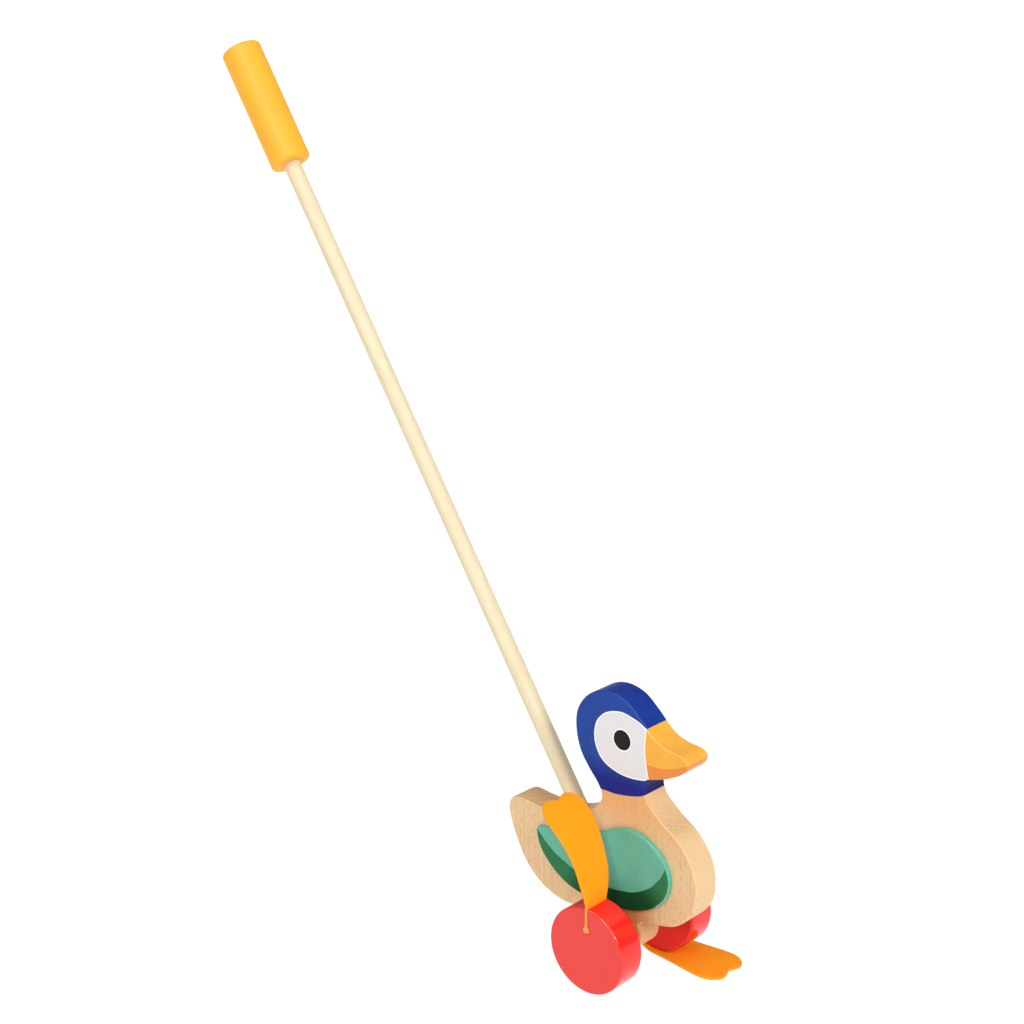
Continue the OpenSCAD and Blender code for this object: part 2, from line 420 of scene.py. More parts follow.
def build(name, shell, place, materials, bends=False):
    """A Blender object from a Shell, with the attributes that the materials read.

    "place" is each point's (u, v, h) in millimetres; "end_grain" is 1 where v, the grain, leaves the wood.
    A piece that bends takes its normals from its shape."""
    shell.weld()
    raw = np.array(shell.points)
    mesh = bpy.data.meshes.new(name)
    mesh.from_pydata([tuple(p) for p in place(raw) * MM], [], shell.faces)
    for material in materials:
        mesh.materials.append(material)
    mesh.polygons.foreach_set("material_index", shell.paints)
    mesh.polygons.foreach_set("use_smooth", [True] * len(shell.faces))
    mesh.attributes.new("place", "FLOAT_VECTOR", "POINT").data.foreach_set("vector", raw.ravel())
    end_grain = np.zeros(len(raw))
    for face, normals in zip(shell.faces, shell.normals):
        for i, n in zip(face, normals):
            end_grain[i] = max(end_grain[i], abs(n[1]))
    mesh.attributes.new("end_grain", "FLOAT", "POINT").data.foreach_set("value", end_grain)
    if bends:
        mesh.set_sharp_from_angle(angle=math.radians(50))
    else:
        normals = np.array([n for face in shell.normals for n in face])
        normals = place(normals) - place(np.zeros((1, 3)))
        mesh.normals_split_custom_set([tuple(n / np.linalg.norm(n)) for n in normals])
    obj = bpy.data.objects.new(name, mesh)
    bpy.context.scene.collection.objects.link(obj)
    return obj


def circle(centre, radius, pitch=1.2):
    """A closed ring of points, anticlockwise."""
    return arc(centre, radius, 0, 360, pitch)


def even(half):
    """The same half thickness everywhere."""
    return lambda where: np.full(len(where), float(half))


# ---------------- materials

def colour(code):
    """A colour for a shader from its six hexadecimal digits."""
    parts = [int(code[i:i + 2], 16) / 255 for i in (0, 2, 4)]
    return tuple(c / 12.92 if c <= 0.04045 else ((c + 0.055) / 1.055) ** 2.4 for c in parts) + (1.0,)


class Finish:
    """A material, with short ways to add the nodes it is made of."""

    def __init__(self, name):
        self.material = bpy.data.materials.new(name)
        self.material.use_nodes = True
        self.tree = self.material.node_tree
        self.tree.nodes.clear()
        self.shader = self.node("ShaderNodeBsdfPrincipled")
        output = self.node("ShaderNodeOutputMaterial")
        self.tree.links.new(self.shader.outputs[0], output.inputs[0])

    def node(self, kind, **settings):
        made = self.tree.nodes.new(kind)
        for key, value in settings.items():
            setattr(made, key, value)
        return made

    def feed(self, socket, value):
        if isinstance(value, bpy.types.NodeSocket):
            self.tree.links.new(value, socket)
        else:
            socket.default_value = value

    def set(self, **values):
        """Sets or links sockets of the shader, named with _ for a space."""
        for key, value in values.items():
            self.feed(self.shader.inputs[key.replace("_", " ")], value)

    def attribute(self, name):
        made = self.node("ShaderNodeAttribute", attribute_name=name)
        return made.outputs["Vector" if name == "place" else "Fac"]

    def scaled(self, size):
        """The place on the piece, divided by a size in millimetres along each of (u, v, h)."""
        made = self.node("ShaderNodeVectorMath", operation="MULTIPLY")
        self.feed(made.inputs[0], self.attribute("place"))
        made.inputs[1].default_value = [1 / s for s in size]
        return made.outputs[0]

    def noise(self, vector, detail=2.0, roughness=0.5):
        made = self.node("ShaderNodeTexNoise")
        self.feed(made.inputs["Vector"], vector)
        made.inputs["Scale"].default_value = 1.0
        made.inputs["Detail"].default_value = detail
        made.inputs["Roughness"].default_value = roughness
        return made.outputs["Fac"]

    def line_noise(self, value, detail=2.0, roughness=0.5):
        made = self.node("ShaderNodeTexNoise", noise_dimensions="1D")
        self.feed(made.inputs["W"], value)
        made.inputs["Scale"].default_value = 1.0
        made.inputs["Detail"].default_value = detail
        made.inputs["Roughness"].default_value = roughness
        return made.outputs["Fac"]

    def cells(self, vector):
        """Distance from the middle of the nearest cell."""
        made = self.node("ShaderNodeTexVoronoi")
        self.feed(made.inputs["Vector"], vector)
        made.inputs["Scale"].default_value = 1.0
        return made.outputs["Distance"]

    def along(self, direction):
        """The place measured along a direction, in millimetres."""
        made = self.node("ShaderNodeVectorMath", operation="DOT_PRODUCT")
        self.feed(made.inputs[0], self.attribute("place"))
        made.inputs[1].default_value = direction
        return made.outputs["Value"]

    def reach(self):
        """Distance from the piece's (0, 0) in the plane of u and v, in millimetres."""
        made = self.node("ShaderNodeVectorMath", operation="LENGTH")
        flat = self.node("ShaderNodeVectorMath", operation="MULTIPLY")
        self.feed(flat.inputs[0], self.attribute("place"))
        flat.inputs[1].default_value = (1, 1, 0)
        self.feed(made.inputs[0], flat.outputs[0])
        return made.outputs["Value"]

    def math(self, operation, a, b=0.0, clamp=False):
        made = self.node("ShaderNodeMath", operation=operation, use_clamp=clamp)
        self.feed(made.inputs[0], a)
        self.feed(made.inputs[1], b)
        return made.outputs[0]

    def span(self, value, low, high, to_low=0.0, to_high=1.0):
        """The value moved from one range to another, held at its ends."""
        made = self.node("ShaderNodeMapRange")
        self.feed(made.inputs["Value"], value)
        for name, number in (("From Min", low), ("From Max", high), ("To Min", to_low), ("To Max", to_high)):
            self.feed(made.inputs[name], number)
        return made.outputs["Result"]

    def mix(self, share, a, b, blend="MIX"):
        made = self.node("ShaderNodeMix", data_type="RGBA", blend_type=blend)
        self.feed(made.inputs["Factor"], share)
        self.feed(made.inputs[6], a)
        self.feed(made.inputs[7], b)
        return made.outputs[2]

    def bump(self, height, depth, strength=1.0, under=None):
        """A bump map whose height of 1 stands depth millimetres tall."""
        made = self.node("ShaderNodeBump")
        made.inputs["Strength"].default_value = strength
        made.inputs["Distance"].default_value = depth * MM
        self.feed(made.inputs["Height"], height)
        if under:
            self.feed(made.inputs["Normal"], under)
        return made.outputs["Normal"]


def wood(name, light, dark, flecks, rings=(2.4, 7.0, 0.45), end_tone=0.66, warm=None, low=None):
    """Bare wood with its grain along v. flecks is (tone, share). rings is (size, wander, share).

    warm and low are (tone, start, full, share). warm starts and is full at a v, and low at a distance
    from (0, 0). The calls use low for painted shade near the axle, with painted red light from the wheels."""
    f = Finish(name)
    drift = f.noise(f.scaled((22, 90, 22)), 2)
    warp = f.math("MULTIPLY", f.noise(f.scaled((16, 80, 16)), 2), rings[1])
    across = f.math("ADD", f.along((0.9, 0.012, 0.44)), warp)
    bands = f.line_noise(f.math("DIVIDE", across, rings[0]), 2, 0.6)
    fibres = f.noise(f.scaled((0.45, 9, 0.45)), 3, 0.65)
    cells = f.cells(f.scaled((0.9, 7, 0.9)))
    rare = f.noise(f.scaled((3, 9, 3)), 1)
    streaks = f.math("ADD", f.math("MULTIPLY", bands, rings[2]), f.math("MULTIPLY", fibres, 1 - rings[2]))
    base = f.mix(f.span(streaks, 0.36, 0.66), light, dark)
    base = f.mix(f.span(drift, 0.3, 0.7, 0.0, 0.3), base, dark)
    if warm:
        base = f.mix(f.span(f.along((0, 1, 0)), warm[1], warm[2], 0.0, warm[3]), base, warm[0])
    if low:
        base = f.mix(f.span(f.reach(), low[1], low[2], 0.0, low[3]), base, low[0])
    dash = f.math("MULTIPLY", f.span(cells, 0.12, 0.26, 1, 0), f.span(rare, 0.4, 0.55), clamp=True)
    base = f.mix(f.math("MULTIPLY", dash, flecks[1]), base, flecks[0])
    end = f.span(f.attribute("end_grain"), 0.72, 0.98)
    stripes = f.span(bands, 0.35, 0.65, end_tone + 0.12, end_tone - 0.12)
    shade = f.node("ShaderNodeCombineColor")
    for i, warmth in enumerate((1.06, 0.97, 0.86)):
        f.feed(shade.inputs[i], f.math("MULTIPLY", stripes, warmth))
    base = f.mix(end, base, f.mix(1.0, base, shade.outputs[0], "MULTIPLY"))
    f.set(Base_Color=base, Roughness=f.span(fibres, 0.3, 0.7, 0.42, 0.6), Specular_IOR_Level=0.3)
    f.set(Normal=f.bump(streaks, 0.08, 0.5))
    return f.material


def paint_over_wood(name, tone, spread=0.06, gloss=0.34, telegraph=0.06, level=0.3, deeper=None, low=None):
    """Paint on wood: slightly uneven in colour, with the grain just showing in its surface.

    deeper and low are (tone, start, full). deeper starts and is full at a v, and low at a distance
    from (0, 0). The crescent's low is painted shade near the axle, and the head edge's deeper is painted
    shadow of the beak."""
    f = Finish(name)
    cloud = f.noise(f.scaled((9, 12, 9)), 3)
    fibres = f.noise(f.scaled((0.6, 11, 0.6)), 3, 0.6)
    peel = f.noise(f.scaled((1.1, 1.4, 1.1)), 2)
    darker = tuple(c * (1 - 2.2 * spread) for c in tone[:3]) + (1.0,)
    lighter = tuple(min(1.0, c * (1 + spread)) for c in tone[:3]) + (1.0,)
    share = f.math("ADD", f.math("MULTIPLY", cloud, 0.6), f.math("MULTIPLY", fibres, 0.4))
    base = f.mix(f.span(share, 0.35, 0.65), lighter, darker)
    if deeper:
        base = f.mix(f.span(f.along((0, 1, 0)), deeper[1], deeper[2]), base, deeper[0])
    if low:
        base = f.mix(f.span(f.reach(), low[1], low[2]), base, low[0])
    f.set(Base_Color=base)
    f.set(Roughness=f.span(peel, 0.3, 0.7, gloss - 0.04, gloss + 0.08), Specular_IOR_Level=level)
    end = f.span(f.attribute("end_grain"), 0.3, 0.95, 0.25, 1.0)
    under = f.bump(f.math("MULTIPLY", fibres, end), telegraph, 0.6)
    f.set(Normal=f.bump(peel, 0.03, 0.5, under))
    return f.material


def rubber(name, tone):
    """Sheet rubber: even in colour, a little dusty, with a fine moulded texture."""
    f = Finish(name)
    cloud = f.noise(f.scaled((14, 14, 14)), 3)
    duller = tuple(c * 0.96 for c in tone[:3]) + (1.0,)
    grain = f.noise(f.scaled((0.5, 0.5, 0.5)), 2, 0.6)
    rub = f.noise(f.scaled((7, 2.2, 7)), 3, 0.6)
    f.set(Base_Color=f.mix(f.span(cloud, 0.35, 0.68), tone, duller))
    f.set(Roughness=f.span(rub, 0.3, 0.7, 0.44, 0.58), Specular_IOR_Level=0.05)
    f.set(Normal=f.bump(grain, 0.03, 0.5))
    return f.material


# ---------------- the duck's body

BODY_EDGE = 1.5
BACK_OF_BEAK = [(17.6, 151), (17, 147), (16.5, 141.5), (16, 135), (16.5, 129), (17.5, 123), (18.5, 118),
                (19.5, 114), (20.2, 110)]
UNDER_BEAK = [(17.5, 123.5), (22, 123.5), (27.5, 124), (34.5, 125.5), (41.5, 128), (47, 130.5), (50, 132),
              (54, 134.4)]
NECK_LINE = [(-40, 95.5), (-19.5, 95.5), (-14, 95.5), (-8, 95.5), (-1, 96.5), (6.5, 98), (13, 100), (17, 102),
             (22, 104.8)]
FACE_EDGE = [(16.8, 147.3), (15.5, 148.2), (12.5, 150), (9, 151.4), (5.4, 152.3), (1, 153.3), (-3.3, 153.7),
             (-7.7, 153.1), (-12, 151.9), (-16.4, 149.8), (-20, 146.7), (-23, 143), (-24.7, 138.8),
             (-25.4, 132.4), (-24.9, 127.5), (-23.3, 123), (-20.3, 118.2), (-15.8, 114.5), (-9.8, 112),
             (-2.4, 110.4), (5, 110.2), (10.7, 110.8), (15.4, 111.7), (19.9, 112.8)]
EYE = (-2.5, 134.5)
EYE_R = 6.85
LINE_W = 0.8
HEAD_TOP = 170
CHIN = 90
PAST_HEAD = 70


def duck_paint():
    """The lines between the duck's colours, and a function that says which colour is where."""
    beak_back = smooth(BACK_OF_BEAK, 0.8)
    under = smooth(UNDER_BEAK, 0.8)
    neck = smooth(NECK_LINE, 0.8)
    face = smooth(FACE_EDGE, 0.8)
    between = [p for p in beak_back if face[-1][1] < p[1] < face[0][1]]
    face_border = Border([face, np.array([face[-1]] + between[::-1] + [face[0]])])
    inner_face = face_border.inset(LINE_W)
    eye, eye_ring = circle(EYE, EYE_R, 0.8), circle(EYE, EYE_R + LINE_W, 0.8)
    head = list(neck) + [(PAST_HEAD, neck[-1][1]), (PAST_HEAD, HEAD_TOP), (-PAST_HEAD, HEAD_TOP),
                         (-PAST_HEAD, neck[0][1])]
    beak = list(beak_back) + [(PAST_HEAD, beak_back[-1][1]), (PAST_HEAD, HEAD_TOP),
                              (beak_back[0][0], HEAD_TOP)]
    lower = list(under) + [(PAST_HEAD, under[-1][1]), (PAST_HEAD, CHIN), (under[0][0], CHIN)]

    def paint(middles, side):
        tags = np.full(len(middles), 0 if side else 7)
        # The head's sides take blue copy 1 and its edges the deeper copy 8: one paint in lit and shaded copies,
        # painted light.
        tags[inside(middles, head)] = 1 if side else 8
        if side:
            in_face = inside(middles, face_border.points)
            tags[in_face] = 6
            tags[in_face & inside(middles, inner_face)] = 2
            tags[inside(middles, eye_ring)] = 6
            tags[inside(middles, eye)] = 3
        in_beak = inside(middles, beak)
        tags[in_beak] = 4
        tags[in_beak & inside(middles, lower)] = 5
        return tags

    return [beak_back, under, neck, face_border.line(), inner_face, eye, eye_ring], paint


def rod_ends():
    """Middles of the push rod's two ends, lower one first, from its box."""
    length = (size_of("push_rod")[2] - 2 * ROD_R * abs(ROD_AXIS[0])) / ROD_AXIS[2]
    return [centre_of("push_rod") + ROD_AXIS * length * k for k in (-0.5, 0.5)]


ROD_PLAY = 0.12
STRIP_MARGIN = 4


def rod_socket(shell, border, level):
    """The strip of the duck's edge round the push rod, with the rod's socket in it.

    Returns a test for the part of the outline's wall that the strip stands in for."""
    flat = [0, 2]
    foot = rod_ends()[0][flat] - AXLE[flat]
    way = ROD_AXIS[flat]
    across = np.array([way[1], -way[0]])
    radius = ROD_R + ROD_PLAY
    aside = (border.points - foot) @ across
    above = (border.points - foot) @ way > 0
    near = np.flatnonzero((np.abs(aside) < radius + STRIP_MARGIN) & above)
    first, last = near[0], near[-1] + 1
    points = border.points[first:last + 1]
    offsets = aside[first:last + 1]
    s = np.arange(len(points), dtype=float)
    order = 1 if offsets[0] <= offsets[-1] else -1
    angles = np.linspace(0, math.tau, 49)
    rim_s = np.interp(radius * np.cos(angles), offsets[::order], s[::order])
    rim = list(zip(rim_s, radius * np.sin(angles)))
    turn = sum(a[0] * b[1] - a[1] * b[0] for a, b in zip(rim, rim[1:]))
    rim = rim if turn > 0 else rim[::-1]
    side_rows = [level * (1 - 2 * r / WALL_ROWS) for r in range(WALL_ROWS + 1)]
    outline = [(k, -level) for k in s] + [(s[-1], h) for h in side_rows[::-1][1:]]
    outline += [(k, level) for k in s[::-1][1:]] + [(s[0], h) for h in side_rows[1:]]
    uprights = [[(k, -level), (k, level)] for k in s[1:-1]]
    where, faces = triangulate([outline, rim] + uprights, [], [outline, rim[:-1]])

    def spot(k):
        i = min(int(k), len(points) - 2)
        share = k - i
        normal = border.normal(first + i, share)
        return points[i] + share * (points[i + 1] - points[i]), (*normal, 0)

    spots = [spot(k) for k, _ in where]
    start = shell.add([(*p, h) for (p, _), (_, h) in zip(spots, where)])
    for face in faces:
        shell.face(start + face, [spots[i][1] for i in face])
    mouth, floor = [], []
    for k, h in rim:
        p, _ = spot(k)
        mouth.append((*p, h))
        floor.append((*(foot - 0.3 * way + across * ((p - foot) @ across)), h))
    blind_hole(shell, mouth, floor, 1)

    def open_wall(middle):
        return first <= border.nearest(middle)[0][0] < last

    return open_wall


def make_duck():
    outline = border_of("duck_body", -1, 1.2)
    bore = circle((0, 0), AXLE_R + 0.1)
    bore_edge = Border([bore[::-1]])
    marks, paint = duck_paint()
    extra = Shell()
    open_wall = rod_socket(extra, outline, BODY_T / 2 - BODY_EDGE)
    edges = [(outline, BODY_EDGE), (bore_edge, 0.3)]
    shell = board([outline, bore_edge], {1: edges, -1: edges}, even(BODY_T / 2), marks, 4.0, paint,
                  open_wall=open_wall)
    start = shell.add(extra.points)
    for face, normals in zip(extra.faces, extra.normals):
        shell.face([start + i for i in face], normals, 7)
    finishes = [
        # Beech, warmer from v 60 up, and darker near the axle: painted shade with painted red light from the
        # wheels.
        wood("beech_side_painted_shade", colour("EBCDA0"), colour("DDB684"), (colour("B0682C"), 0.85),
             warm=(colour("E6AA6C"), 60, 95, 0.8), low=(colour("D29052"), 34, 20, 0.85)),
        # One blue paint in two copies: the sides lighter for the sheen on them, the edges deeper, painted light.
        # The sides also turn darker towards the neck.
        paint_over_wood("blue_side_paint", colour("23469A"), 0.06, 0.4, 0.06, 0.1,
                        (colour("162682"), 118, 104)),
        paint_over_wood("face_paint", colour("E3E1E1"), 0.01, 0.4, 0.03, 0.2),
        paint_over_wood("eye_paint", colour("120F0D"), 0.1, 0.3, 0.03, 0.15),
        paint_over_wood("beak_paint", colour("F5B040"), 0.03, 0.32, 0.03, 0.25),
        paint_over_wood("beak_shadow_paint", colour("E98C40"), 0.03, 0.34, 0.03, 0.25),
        paint_over_wood("line_paint", colour("FFFFFF"), 0.01, 0.4, 0.02, 0.2),
        # The edge's wood is darker on the lug round the axle: painted shade with painted red light from the
        # wheels.
        wood("beech_edge_painted_shade", colour("E8C89A"), colour("E0BA8A"), (colour("B0682C"), 0.5),
             (1.3, 2.0, 0.1), 0.82, low=(colour("D99656"), 18, 15, 0.5)),
        # The edge copy turns deeper still below v 114: painted shadow of the beak on the neck's front.
        paint_over_wood("blue_edge_paint_with_painted_shade", colour("193891"), 0.08, 0.36, 0.06, 0.1,
                        (colour("181864"), 114, 106)),
    ]
    piece = build("duck_body_board", shell, placer(AXLE, (1, 0, 0), (0, 0, 1)), finishes)
    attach(piece, "duck")
    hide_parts("duck_body")


# ---------------- wings

WING_EDGE = 0.8
# From this x forward the wing's rounded edge is left light green as a painted highlight.
PAINTED_HIGHLIGHT_FROM = 30
WING_BOTTOM = -20
PAST_WING = 90
CRESCENT = [(-76, 56.5), (-73.5, 54), (-71, 51.5), (-68, 49), (-64.5, 45.5), (-58.5, 41), (-52.5, 37.5),
            (-47.5, 35.5), (-42.5, 33.5), (-33, 31), (-24, 29.5), (-7.5, 29), (2.5, 30.5), (11, 32.5),
            (19, 36.5), (25.5, 41), (30, 46), (34, 51.5), (36.5, 57), (38.5, 63)]


def make_wing(node, side):
    low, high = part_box(node)
    wing = placer((AXLE[0], (low.y + high.y) / 2 / MM, AXLE[2]), (-side, 0, 0), (0, 0, 1))
    outline = border_of(node, side, 1.0)
    line = smooth([(-side * x, z) for x, z in CRESCENT], 0.8)
    front, back = -side * PAST_WING, side * PAST_WING
    below = list(line) + [(front, line[-1][1]), (front, WING_BOTTOM), (back, WING_BOTTOM),
                          (back, line[0][1])]

    def paint(middles, face):
        at_edge = outline.nearest(middles)[1] < WING_EDGE
        # Along the front, the crescent stops short of the rounded edge, which keeps the light green: a painted
        # highlight where the front light falls.
        painted_edge_highlight = at_edge & (-side * middles[:, 0] > PAINTED_HIGHLIGHT_FROM)
        return (inside(middles, below) & (face == 1) & ~painted_edge_highlight).astype(int)

    shell = board([outline], {1: [(outline, WING_EDGE)], -1: [(outline, 0.15)]}, even(WING_T / 2), [line],
                  4.0, paint)
    finishes = [
        paint_over_wood("wing_paint_" + node, colour("5FB399"), 0.04, 0.3, 0.03, 0.3),
        # The crescent turns darker near the axle: painted shade.
        paint_over_wood("crescent_paint_with_painted_shade_" + node, colour("2B784D"), 0.05, 0.34, 0.03, 0.1,
                        low=(colour("104A26"), 54, 38)),
    ]
    piece = build(node + "_plate", shell, wing, finishes)
    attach(piece, "duck")
    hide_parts(node)


# ---------------- wheels

RIM_EDGE = 1.1
INNER_RIM_EDGE = 1.8
KEY_EDGE = 0.25
KEY_R = 15
KEY_HOLE_R = 3
KEY_W = 2.2
SLOT_MIDDLE = 22
AXLE_DEPTH = 13


def slot_axes(side):
    """The wheel's own u and v directions, v along its slot."""
    a = math.radians(SLOT_TURN[side])
    v = np.array([math.sin(a), 0, math.cos(a)])
    return np.cross(v, (0, side, 0)), v


def make_wheel(node, side):
    half_slot = KEY_W / 2
    rim_gap = math.degrees(math.asin(half_slot / WHEEL_R))
    hole_gap = math.degrees(math.asin(half_slot / KEY_HOLE_R))
    rim = arc((0, 0), WHEEL_R, 90 + rim_gap, 450 - rim_gap, 1.2)
    hole = arc((0, KEY_R), KEY_HOLE_R, 90 - hole_gap, -270 + hole_gap, 0.35)
    slot_down = smooth([hole[-1], (-half_slot, SLOT_MIDDLE), rim[0]], 1.2)
    slot_up = smooth([rim[-1], (half_slot, SLOT_MIDDLE), hole[0]], 1.2)
    outline = Border([rim, slot_up, hole, slot_down])
    rim_border = Border([circle((0, 0), WHEEL_R)])
    key_border = Border([slot_up, hole, slot_down], closed=False)
    outer = [(rim_border, RIM_EDGE), (key_border, KEY_EDGE)]
    inner = [(rim_border, INNER_RIM_EDGE), (key_border, KEY_EDGE)]
    bore = circle((0, 0), AXLE_R + 0.05)
    socket_floor = -WHEEL_T / 2 + AXLE_DEPTH

    def paint(middles, face):
        if face == 1:
            return np.zeros(len(middles), int)
        rounded = rim_border.nearest(middles)[1] < INNER_RIM_EDGE
        return np.where(rounded | (face == 0), 2, 1)

    shell = board([outline], {1: outer, -1: inner}, even(WHEEL_T / 2), [], 4.0, paint,
                  sockets=[(bore, -1, socket_floor)])
    u, v = slot_axes(side)
    place = placer((AXLE[0], side * WHEEL_Y, AXLE[2]), u, v)
    finishes = [
        paint_over_wood("red_face_" + node, colour("EA3026"), 0.02, 0.1, 0.01, 0.5),
        paint_over_wood("red_inside_" + node, colour("E52B20"), 0.02, 0.35, 0.01, 0.08),
        paint_over_wood("red_rim_" + node, colour("F22013"), 0.02, 0.12, 0.01, 0.45),
    ]
    piece = build(node + "_disc", shell, place, finishes)
    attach(piece, "wheels")
    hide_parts(node)


# ---------------- feet

FOOT_HALF_T = 1.0
FOOT_EDGE = 0.6
FOOT_SIDES = [(0, 9.9), (9, 12.4), (18, 14.1), (30, 15.2), (44, 17), (54, 18.4), (62, 19)]
FOOT_TOE = [(62, 19), (67.5, 18.4), (72.3, 16), (75.5, 12.5), (76.5, 9), (75.9, 5.6), (74.7, 2.4), (73.4, 0)]
FOOT_PITCH = 1.3
FOOT_ROW = 1.5
HINGE_ROW = 0.3
HINGE_ROWS = (-1.2, 3)
HINGE_GAP = 0.6
PAST_TOE = 78
PAST_SIDE = 21
BLADE = 80
RIGHT_BEND = 72.5
FILLET_R = 1.7
HINGE_PAST_SLOT = 1.2


class Path:
    """A path in the (x, z) plane around the axle, made of straight and curved lengths."""

    def __init__(self, point, heading, s):
        self.point, self.heading, self.s = np.array(point, float), math.radians(heading), s
        self.lengths = []
        self.shrink = 1.0

    def go(self, length, turn=0.0):
        """Adds a length that turns evenly by an angle in degrees, to the right if positive."""
        bend = math.radians(turn) / length
        self.lengths.append((self.s, self.point, self.heading, bend))
        self.point = self.at(np.array([self.s + length]))[0][0]
        self.heading += math.radians(turn)
        self.s += length

    def at(self, s):
        """Points and headings at distances along the path."""
        points, headings = np.empty((len(s), 2)), np.empty(len(s))
        for start, origin, heading, bend in self.lengths:
            k = s >= start - 1e-9 if start > self.lengths[0][0] else np.ones(len(s), bool)
            d = s[k] - start
            headings[k] = heading + bend * d
            if bend:
                points[k] = origin + np.column_stack([np.cos(heading) - np.cos(headings[k]),
                                                      np.sin(headings[k]) - np.sin(heading)]) / bend
            else:
                points[k] = origin + d[:, None] * np.array([math.sin(heading), math.cos(heading)])
        return points, headings


def right_path():
    """The CAD cuts this foot's end level, so its front face is a little shorter than its length."""
    path = Path((0, KEY_R), 0, KEY_R - FLEX_R)
    path.go(FLEX_R - KEY_R)
    path.go(BLADE, -math.degrees(BLADE / RIGHT_BEND))
    path.shrink = 0.98
    return path


def left_path():
    heading = SLOT_TURN[1]
    a = math.radians(heading)
    off = math.degrees(math.asin(FILLET_R / (FLEX_R - FILLET_R)))
    fillet = FILLET_R * math.radians(90 + off)
    straight = (FLEX_R - FILLET_R) * math.cos(math.radians(off)) - KEY_R
    on_rim = heading - 180 - off
    to_rim = FLEX_R * math.radians(off)
    path = Path((KEY_R * math.sin(a), KEY_R * math.cos(a)), heading, to_rim - fillet - straight)
    path.go(straight)
    path.go(fillet, -90 - off)
    path.go(FLEX_R * math.radians(on_rim), -on_rim)
    path.go(BLADE)
    return path


def foot_board(root):
    """One foot, flat: u along it from the hinge, v across it. root is where its bead's middle is."""
    start = root - 0.97 * BEAD_R
    root_line = smooth([(start, -FOOT_ROOT), (start / 2, -FOOT_ROOT), (0, -FOOT_ROOT)], FOOT_PITCH)
    side_line = smooth([(u, -v) for u, v in FOOT_SIDES], FOOT_PITCH)
    toe = smooth([(u, -v) for u, v in FOOT_TOE], 1.0)
    lower = [root_line, side_line, np.clip(toe, (0, -FOOT_HALF), (100, 0))]
    upper = [line[::-1] * [1, -1] for line in lower[::-1]]
    end = smooth([(start, FOOT_ROOT), (start, 0), (start, -FOOT_ROOT)], FOOT_PITCH)
    outline = Border(lower + upper + [end])
    bead_lines = [root + BEAD_R * math.cos(math.radians(a)) for a in range(22, 166, 12)]
    first, last = HINGE_ROWS
    lines = bead_lines + list(np.arange(root + BEAD_R + HINGE_GAP, first - HINGE_GAP, FOOT_ROW))
    lines += list(np.arange(first, last, HINGE_ROW)) + list(np.arange(last + HINGE_GAP, PAST_TOE, FOOT_ROW))
    marks = [[(u, v) for v in np.linspace(-PAST_SIDE, PAST_SIDE, 18)] for u in lines]

    def half(where):
        bead = np.sqrt(np.maximum(BEAD_R**2 - (where[:, 0] - root) ** 2, 0))
        return np.maximum(bead, np.where(where[:, 0] < root, 0.2, FOOT_HALF_T))

    def paint(middles, side):
        return ((middles[:, 0] < 0) & (side == 0)).astype(int)

    edges = [(Border(lower[1:] + upper[:2], closed=False), FOOT_EDGE)]
    return board([outline], {1: edges, -1: edges}, half, marks, 200, paint)


def make_foot(node, side, path, hinge, tones):
    """A foot bent along its path."""
    shell = foot_board(path.lengths[0][0])

    def bent(rows):
        s = np.where(rows[:, 0] > 0, rows[:, 0] * path.shrink, rows[:, 0])
        points, headings = path.at(s)
        along = np.column_stack([np.sin(headings), np.zeros(len(rows)), np.cos(headings)])
        across = np.array([0, -side, 0])
        middle = np.column_stack([points[:, 0] + AXLE[0], np.full(len(rows), side * FOOT_Y),
                                  points[:, 1] + AXLE[2]])
        return middle + rows[:, 1:2] * across + rows[:, 2:] * np.cross(along, across)

    finishes = [rubber("rubber_" + node, tones[0]), rubber("cut_rubber_" + node, tones[1])]
    piece = build(node + "_rubber", shell, bent, finishes, bends=True)
    start = (AXLE + np.array(hinge)) * MM
    start[1] = side * FOOT_Y * MM
    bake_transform(piece)
    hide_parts(node, node + "_bead")


def make_feet():
    """The right foot comes straight out of its slot, the left one bends along the rim that it wraps round."""
    cut = colour("EFA055")
    make_foot("foot_right", -1, right_path(), (0, 0, FLEX_R), (colour("FC9E1B"), cut))
    along_rim, along_slot = slot_axes(1)
    hinge = along_slot * FLEX_R + along_rim * HINGE_PAST_SLOT
    make_foot("foot_left", 1, left_path(), hinge, (colour("FF9D20"), cut))


# ---------------- rod, handle, axle and spacers

DOWEL_RINGS = (1.6, 7.0, 0.45)
HANDLE_EDGE = 2.0


def rod_placer(origin):
    across = np.array([ROD_AXIS[2], 0, -ROD_AXIS[0]])
    return placer(origin, across, ROD_AXIS)


def straight_lines(*corners):
    """Stretches between corners, each cut into short steps."""
    return [np.array([a, (np.array(a) + b) / 2, b], float) for a, b in zip(corners, corners[1:])]


def pin_profile(radius, length, chamfer):
    """Outline of a round pin with chamfered ends, in (radius, v)."""
    corners = [(0, 0), (radius - chamfer, 0), (radius, chamfer), (radius, length - chamfer),
               (radius - chamfer, length), (0, length)]
    return Border(straight_lines(*corners), closed=False)


def make_rod():
    low, high = rod_ends()
    length = np.linalg.norm(high - low)
    shell = turned(pin_profile(ROD_R, length, 0.8))
    finish = wood("dowel_bare", colour("EADDBC"), colour("DECBA4"), (colour("A88458"), 0.25), DOWEL_RINGS)
    piece = build("push_rod_dowel", shell, rod_placer(low), [finish])
    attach(piece, "duck")
    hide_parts("push_rod")


